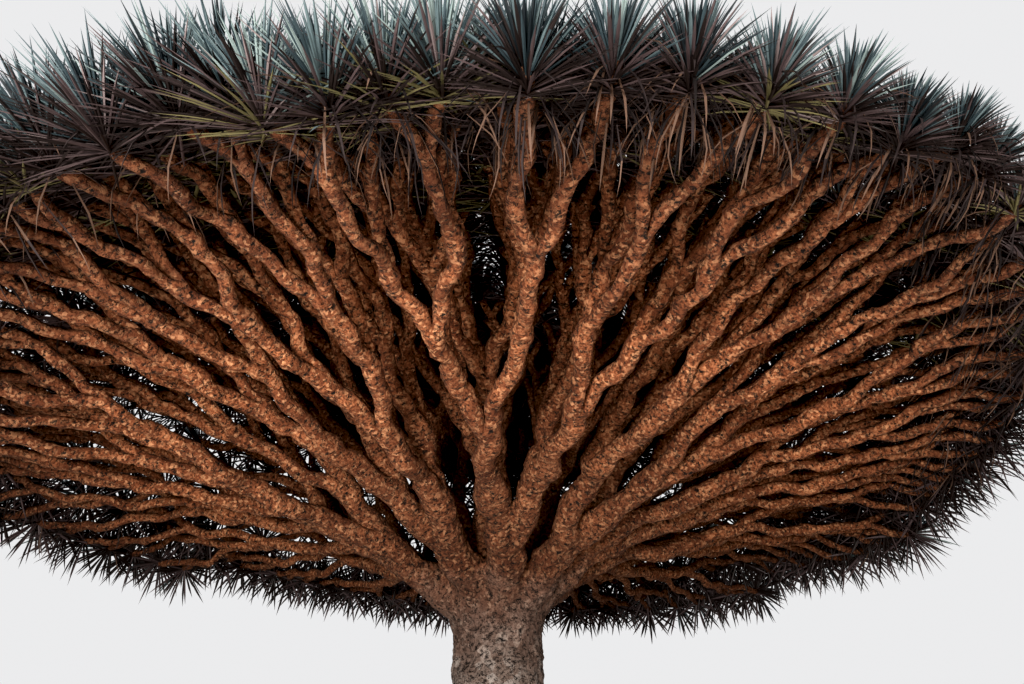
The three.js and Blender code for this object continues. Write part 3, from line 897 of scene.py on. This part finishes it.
cut_flat(wood, 0, keep_above=True)
trunk = new_object("trunk_bark", wood.data.copy())
cut_flat(trunk, TRUNK_TOP, keep_above=False)
cut_flat(wood, TRUNK_TOP, keep_above=True)
wood.name = "bough_bark"
trunk.data.materials.clear()
trunk.data.materials.append(trunk_cork)
print(f"trunk {len(trunk.data.polygons)} faces, boughs {len(wood.data.polygons)} faces")

# %% [markdown]
# ## Twigs
#
# The twigs get the same relief, at their own smaller scale. They are joined by side of the crown
# into a few pieces, so that none is too heavy for the export.

# %% Join the twigs
TWIG_RELIEF = {"lump_size": 0.08, "lump_height": 0.045, "plate_size": 0.03, "plate_height": 0.008}
SIDES = {
    "front": ["outer_1", "outer_2", "outer_10"],
    "right": ["outer_3", "outer_4"],
    "back": ["outer_5", "outer_6", "outer_7"],
    "left": ["outer_8", "outer_9"],
    "middle": [f"inner_{i + 1}" for i in range(len(INNER_TUFTS))],
}


def mass_names(side):
    """The CAD masses on one side of the crown."""
    return [name for name, _ in stems() if name.removeprefix("mass_").rstrip("ab") in SIDES[side]]


def joined(name, meshes):
    whole = WoodMesh()
    for mesh in meshes:
        shift = len(whole.points)
        whole.points += mesh.points
        whole.faces += [tuple(i + shift for i in face) for face in mesh.faces]
    return mesh_object(name, whole)


twig_pieces = {}
for side in SIDES:
    piece = joined(f"twigs_{side}", [twig_skins[name] for name in mass_names(side)])
    apply_tree(piece, relief_tree, **TWIG_RELIEF, bark=bough_cork)
    twig_pieces[side] = piece
    print(piece.name, len(piece.data.polygons), "faces")

# %% [markdown]
# ## Leaves
#
# A leaf of this tree is a stiff sword: half a metre long, two or three centimetres wide, keeled
# underneath, and drawn to a point. A cone with three sides already has a keel and a point, so a cone
# is flattened and widened into the blade.
#
# Young leaves are blue-grey, and old ones brown. The colours have a place, so they are plain colours
# dealt out by tuft and leaf. A face that looks into the crown or down is dealt a browner, darker one:
# that is painted shade.

# %% Leaf colours
def leaf_materials(roughness, **colours):
    """Waxy leaf skins, dull once they are dry: a soft sheen of light on one plain colour each."""
    wax = {"Roughness": roughness, "IOR": 1.45}
    made = [new_material(name, wax | {"Base Color": linear(paint)}) for name, paint in colours.items()]
    return [material for material, _ in made]


greens = leaf_materials(
    0.4, waxy_leaf_deep_green="#262d31", waxy_leaf_blue_green="#404d52",
    waxy_leaf_grey_green="#5f6d70", waxy_leaf_pale_green="#808d8c",
)
(olive,) = leaf_materials(0.5, waxy_leaf_olive="#6f6b4f")
# Browns for old leaves, also dealt as painted shade to faces that look into the crown or down
browns = leaf_materials(0.5, old_leaf_dark="#2a2322", old_leaf_brown="#54494a", old_leaf_mauve="#7c7272")
dry_browns = leaf_materials(0.8, dry_leaf_brown="#1a1414", dry_leaf_grey="#2d2525", dry_leaf_tan="#5d4b40")
print(len(greens) + len(browns) + len(dry_browns) + 1, "leaf colours")

# %% [markdown]
# The leaves of a tuft stand in a spiral. Each one turns by the golden angle from the last, as on a
# pine cone, so none hides another. The young ones in the middle stand straight up, and the old ones
# at the outside lean out and hang. One tree does this for all tufts: it repeats each twig's tip once
# for each leaf, works out that leaf's direction, and puts a blade there.

# %% A tree for leaf tufts
GOLDEN_ANGLE = math.pi * (3 - math.sqrt(5))
BROWN_FROM = 1.02  # how old a leaf has to be to look brown; painted shade on a face that looks into the crown or down counts towards it
AGE_BROWNS = 1.05
CHANCE_BROWNS = 0.7
PAINTED_SHADE_INWARD = 0.4  # painted shade: how much browner a face that looks straight into the crown is
PAINTED_SHADE_BELOW = 0.2  # painted shade: the same for a face that looks straight down
PAINTED_SHADE_DARKENS = 0.8  # painted shade: how much darker a brown such a face gets
OLIVE_FROM = 0.66  # the age from which leaves turn olive first, in some tufts
OLIVE_TUFTS = 0.72  # share of the tufts whose leaves never do
OLIVE_SHADES = 0.64  # only leaves of a paler shade than this do
GREENS_FROM = [-1.0, 0.27, 0.52, 0.76]  # the shade from which a leaf has each green
BROWNS_FROM = [-1.0, 0.30, 0.60]
LEAF_SHADE = 0.65  # share of the shade that differs by leaf, and the rest by tuft
BLADE_WIDTH = (1.5, 0.6, -0.72)  # how fast it widens, how wide its foot is, and both to scale
BLADE_KEEL = -0.83
# What differs by chance from leaf to leaf, or from tuft to tuft, and between which values
CHANCES = {
    "turn": (-1.5, 1.5),
    "lean": (-1.0, 1.0),
    "size": (0.72, 1.0),
    "tuft": (0.0, 1.0),
    "shade": (0.0, 1.0),
    "foot": (0.0, 1.0),
    "browning": (0.0, CHANCE_BROWNS),
    "olive": (-0.25, 0.25),
}
tuft_tree, given, result = new_tree(
    "leaf_tufts",
    {
        "Leaf Length": 0.51, "Leaf Width": 0.025, "Leaf Thickness": 0.005, "Bend": 0.03, "Stations": 2,
        "Lean From": 0.04, "Lean To": 1.5, "Hang": 0.1, "Unruly": 0.15,
        "Foot Spacing": 0.12, "Foot Out": 0.02,
        **{f"Green {i + 1}": None for i in range(len(greens))},
        **{f"Brown {i + 1}": None for i in range(len(browns))},
        "Olive": None,
    },
)
node = partial(add, tuft_tree)
times = partial(product, tuft_tree)

# The blade
cone = {"Radius Top": 0.0, "Radius Bottom": 1.0, "Depth": 1.0}
cone = node("MeshCone", 3, given["Stations"], named=cone, fill_type="NGON")
x, y, z = node("SeparateXYZ", node("InputPosition"), take=ALL)
along = node("Math:POWER", z, 0.6)
widening, foot_width, width = BLADE_WIDTH
widen = node("Math:MULTIPLY_ADD", along, widening, foot_width)
across = times(y, widen, width, given["Leaf Width"])
thick = times(x, widen, BLADE_KEEL, given["Leaf Thickness"])
thick = node("Math:SUBTRACT", thick, times(along, along, given["Bend"]))
shape = node("CombineXYZ", thick, across, times(along, given["Leaf Length"]))
blade = node("SetPosition", cone, named={"Position": shape})

# The directions
leaves = node("InputNamedAttribute", "leaves", data_type="INT")
tuft_chance = node("InputNamedAttribute", "chance")
copies = {"Geometry": given[0], "Amount": leaves}
copies, leaf = node("DuplicateElements", named=copies, take=ALL, domain="POINT")
age = node("Math:DIVIDE", node("Math:ADD", leaf, 0.5), leaves)
leaf_number = node("InputIndex")
tuft_number = times(tuft_chance, 9999.0)
by_chance = {}
for seed, (word, (low, high)) in enumerate(CHANCES.items(), 1):
    number = tuft_number if word == "tuft" else leaf_number
    by_chance[word] = node("RandomValue", named={2: low, 3: high, "ID": number, "Seed": seed}, take=1)
turn = node("Math:MULTIPLY_ADD", leaf, GOLDEN_ANGLE, times(tuft_chance, math.tau))
turn = node("Math:ADD", turn, times(by_chance["turn"], given["Unruly"]))
span = node("Math:SUBTRACT", given["Lean To"], given["Lean From"])
lean = node("Math:MULTIPLY_ADD", node("Math:POWER", age, 0.7), span, given["Lean From"])
lean = node("Math:ADD", lean, times(by_chance["lean"], given["Unruly"]))
sine = node("Math:SINE", lean)
east = node("Math:COSINE", turn)
north = node("Math:SINE", turn)
local = node("CombineXYZ", times(sine, east), times(sine, north), node("Math:COSINE", lean))
axis = node("InputNamedAttribute", "axis", data_type="FLOAT_VECTOR")
to_axis = node("AlignRotationToVector", named={"Vector": axis}, axis="Z")
way = node("RotateVector", named={"Vector": local, "Rotation": to_axis})
fall = node("CombineXYZ", 0.0, 0.0, times(age, age, given["Hang"], -1.0))
way = node("VectorMath:NORMALIZE", node("VectorMath:ADD", way, fall))
facing = {"Primary Axis": way, "Secondary Axis": axis}
facing = node("AxesToRotation", named=facing, primary_axis="Z", secondary_axis="X")

# The feet
back = times(age, given["Foot Spacing"], -1.0)
back = node("VectorMath:SCALE", axis, named={"Scale": back})
out = times(by_chance["foot"], given["Foot Out"])
out = node("VectorMath:SCALE", node("CombineXYZ", east, north), named={"Scale": out})
placed = node("SetPosition", copies, named={"Offset": node("VectorMath:ADD", back, out)})
young = node("Math:MINIMUM", node("Math:MULTIPLY_ADD", age, 1.6, 0.72), 1.0)
size = times(by_chance["size"], young, node("InputNamedAttribute", "vigour"))
stretch = node("CombineXYZ", 1.0, 1.0, size)
blades = {"Points": placed, "Instance": blade, "Rotation": facing, "Scale": stretch}
blades = node("InstanceOnPoints", named=blades)

# The colours
by_tuft = times(by_chance["tuft"], 1 - LEAF_SHADE)
told = {
    "shade": node("Math:MULTIPLY_ADD", by_chance["shade"], LEAF_SHADE, by_tuft),
    "browning": node("Math:MULTIPLY_ADD", age, AGE_BROWNS, by_chance["browning"]),
    "tuft": by_chance["tuft"],
    "olive_age": node("Math:ADD", age, by_chance["olive"]),
}
for word, value in told.items():
    stored = {"Geometry": blades, "Name": word, "Value": value}
    blades = node("StoreNamedAttribute", named=stored, data_type="FLOAT", domain="INSTANCE")
blades = node("RealizeInstances", blades)
told = {word: node("InputNamedAttribute", word) for word in told}
# Painted shade: a face that looks into the crown or down is dealt a browner, darker colour
outward = node("VectorMath:MULTIPLY", node("InputPosition"), (1, 1, 0))
outward = node("VectorMath:NORMALIZE", outward)
painted_shade_facing = node("VectorMath:SCALE", outward, named={"Scale": -PAINTED_SHADE_INWARD})
painted_shade_facing = node("VectorMath:ADD", painted_shade_facing, (0, 0, -PAINTED_SHADE_BELOW))
painted_shade_facing = node("VectorMath:DOT_PRODUCT", node("InputNormal"), painted_shade_facing, take="Value")
over = partial(node, "Math:GREATER_THAN")
brown_by_age_and_painted_shade = over(node("Math:ADD", painted_shade_facing, told["browning"]), BROWN_FROM)
painted_darker_tone = node("Math:MULTIPLY_ADD", painted_shade_facing, -PAINTED_SHADE_DARKENS, told["shade"])
chosen = {f"Green {i + 1}": over(told["shade"], shade) for i, shade in enumerate(GREENS_FROM)}
for i, shade in enumerate(BROWNS_FROM):
    chosen[f"Brown {i + 1}"] = times(over(painted_darker_tone, shade), brown_by_age_and_painted_shade)
chosen["Olive"] = times(
    over(told["olive_age"], OLIVE_FROM), over(told["tuft"], OLIVE_TUFTS), over(told["shade"], OLIVE_SHADES)
)
for label, selection in chosen.items():
    blades = node("SetMaterial", blades, named={"Selection": selection, "Material": given[label]})
tuft_tree.links.new(blades, result)
print("leaf tree with", len(tuft_tree.nodes), "nodes")

# %% [markdown]
# The near rim's tufts are the ones that the photograph shows leaf by leaf, so they get the most
# leaves and the finest blades. Deeper in the crown and further round each tuft has fewer.

# %% Grow the leaves
RIM_FROM = 0.78  # share of the plan area inside the rim's tufts
# How many leaves a tuft has, how wide each is, how far the oldest lean, and how far apart the feet are
LEAVES = {
    "rim": {
        "front": (240, 0.0145, 1.46, 0.12),
        "right": (84, 0.023, 1.95, 0.05),
        "back": (62, 0.026, 1.9, 0.06),
        "left": (96, 0.023, 1.9, 0.06),
    },
    "crown": {
        "front": (90, 0.025, 1.5, 0.12),
        "right": (27, 0.025, 1.5, 0.12),
        "back": (18, 0.023, 1.5, 0.12),
        "left": (44, 0.025, 1.5, 0.12),
        "middle": (96, 0.028, 1.5, 0.12),
    },
}
LEAVES_DIFFER = 0.15  # how many more or fewer leaves a tuft may have, as a share
SHORTER_BY = 0.44  # how much shorter the leaves are on one side
SHORTER_AT = 0.5  # azimuth of that side
SHORTER_SPAN = 8  # the higher, the narrower that side


def is_rim(twig):
    return twig.depth > RIM_FROM


def vigour(twig):
    """How long a twig's leaves are, as a share of the longest."""
    return 1 - SHORTER_BY * max(0, math.cos(twig.azimuth - SHORTER_AT)) ** SHORTER_SPAN


def grow_leaves(name, some_twigs, counts, purpose, greens, browns, olive, **shape):
    """Tufts of leaves at the twigs' tips, from a mesh of points that know their twig's direction."""
    data = bpy.data.meshes.new(name)
    data.from_pydata([tuple(twig.curve.at([1])[0]) for twig in some_twigs], [], [])
    axes = data.attributes.new("axis", "FLOAT_VECTOR", "POINT")
    axes.data.foreach_set("vector", np.array([twig.end_flow for twig in some_twigs]).ravel())
    chances = [chance(twig.number, purpose) for twig in some_twigs]
    vigours = [vigour(twig) for twig in some_twigs]
    for word, kind, values in [
        ("leaves", "INT", counts), ("chance", "FLOAT", chances), ("vigour", "FLOAT", vigours)
    ]:
        data.attributes.new(word, kind, "POINT").data.foreach_set("value", values)
    piece = new_object(name, data)
    colours = {f"green_{i + 1}": colour for i, colour in enumerate(greens)}
    colours |= {f"brown_{i + 1}": colour for i, colour in enumerate(browns)}
    apply_tree(piece, tuft_tree, **colours, olive=olive, **shape)
    piece.data.calc_loop_triangles()
    print(name, len(some_twigs), "tufts,", len(piece.data.loop_triangles), "triangles")
    return piece


leaf_pieces = {side: [] for side in SIDES}
for side in SIDES:
    here = [twig for bough in boughs if bough.name in SIDES[side] for twig in bough.limbs if twig.is_tip]
    for zone, sizes in LEAVES.items():
        if side not in sizes:
            continue
        most, width, lean, spacing = sizes[side]
        zone_twigs = [twig for twig in here if is_rim(twig) == (zone == "rim")]
        more = [LEAVES_DIFFER * (2 * chance(twig.number, 7) - 1) for twig in zone_twigs]
        counts = [round(most * (1 + share)) for share in more]
        piece = grow_leaves(
            f"leaves_{side}_{zone}", zone_twigs, counts, 8, greens, browns,
            olive if side == "front" else browns[1],
            leaf_width=width, lean_to=lean, foot_spacing=spacing,
        )
        leaf_pieces[side].append(piece)

# %% [markdown]
# Old leaves dry out and hang under their tuft before they fall. They are the same blades, brown, and
# turned down.

# %% Hang the dry leaves
DRY_LEAVES_MOST = 66
DRY_SIDE_AT = 0.5  # azimuth of the side on which the most dry leaves hang
DRY_ELSEWHERE = 0.08  # how many hang on the others, as a share of that
DRY_SHAPE = {
    "leaf_length": 0.40, "leaf_width": 0.011, "leaf_thickness": 0.005, "bend": 0.12, "stations": 3,
    "lean_from": 1.2, "lean_to": 2.0, "hang": 1.1, "foot_spacing": 0.16, "foot_out": 0.14, "unruly": 0.34,
}


def dry_count(twig):
    """A few dry leaves under most tufts, and a whole skirt under some."""
    favour = DRY_ELSEWHERE + (1 - DRY_ELSEWHERE) * max(0, math.cos(twig.azimuth - DRY_SIDE_AT)) ** 4
    return round(DRY_LEAVES_MOST * favour * chance(twig.number, 11))


hangers = [twig for twig in twigs if is_rim(twig) and dry_count(twig) > 0]
dry = grow_leaves(
    "dry_leaves", hangers, [dry_count(twig) for twig in hangers], 12,
    [*dry_browns, dry_browns[0]], dry_browns, dry_browns[-1], **DRY_SHAPE,
)

# %% [markdown]
# ## Join the frame
#
# Every piece rides on the model's one body, and the CAD nodes that it stands for are hidden.

# %% Ride and replace


def stand_for(piece, names):
    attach(piece, "root")
    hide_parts(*names)


stand_for(trunk, ["trunk"])
stand_for(wood, [name for name in nodes if name.startswith(("bough", "limb"))])
for side in SIDES:
    stand_for(twig_pieces[side], mass_names(side))
    for piece in leaf_pieces[side]:
        stand_for(piece, mass_names(side))
outer_masses = [name for name, _ in stems() if "outer" in name]
stand_for(dry, outer_masses)

# %% [markdown]
# ## Studio
#
# The sky in the photograph is one even pale grey, and the sunlit ground throws light up into the
# crown. A pale world and a pale floor give both, with a wide soft light flat on the ground before
# the tree for its brightest part. A small one low behind the camera, aimed at the crown, brings out
# the near boughs. The display's contrast leaves the depth of the crown dark.

# %% Floor, sky and lights
SKY = "#ededee"
SKY_STRENGTH = 1.03
FLOOR_SIZE = 400
BLACKS = 0.012  # the darkest light that still shows, as in a print with deep shadows
CONTRAST = 0.77  # the display's gamma, for the photograph's deep shade
# Of each light: where it is, where it points, its width, watts, colour and spread in degrees
BOUNCE = ((0, -9, 0.02), (0, -9, 5), 12, 1350, "#fff7f0", 180)
KEY = ((-2.8, -11.3, 1.4), (0, 0, 6.9), 2, 420, "#fffaf6", 100)

bpy.ops.mesh.primitive_plane_add(size=FLOOR_SIZE, location=(0, 0, 0))
floor = bpy.context.object
floor.name = "studio_floor"
paint, _ = new_material("matt_floor_paint", {"Base Color": linear("#c4c0ba"), "Roughness": 0.9})
floor.data.materials.append(paint)

world = bpy.data.worlds.new("pale_sky")
bpy.context.scene.world = world
world.use_nodes = True
background = world.node_tree.nodes["Background"]
background.inputs["Color"].default_value = linear(SKY)
background.inputs["Strength"].default_value = SKY_STRENGTH


def soft_light(name, spot, aim, width, watts, hex_value, spread):
    light = new_object(name, bpy.data.lights.new(name, "AREA"))
    light.data.size = width
    light.data.energy = watts
    light.data.spread = math.radians(spread)
    light.data.color = linear(hex_value)[:3]
    light.location = spot
    light.rotation_euler = (Vector(aim) - Vector(spot)).to_track_quat("-Z", "Y").to_euler()
    light.visible_camera = False


soft_light("ground_bounce", *BOUNCE)
soft_light("key", *KEY)
view = bpy.context.scene.view_settings
view.view_transform = "Standard"
view.gamma = CONTRAST
view.use_curve_mapping = True
view.curve_mapping.black_level = (BLACKS, BLACKS, BLACKS)
view.curve_mapping.update()
print("studio ready")
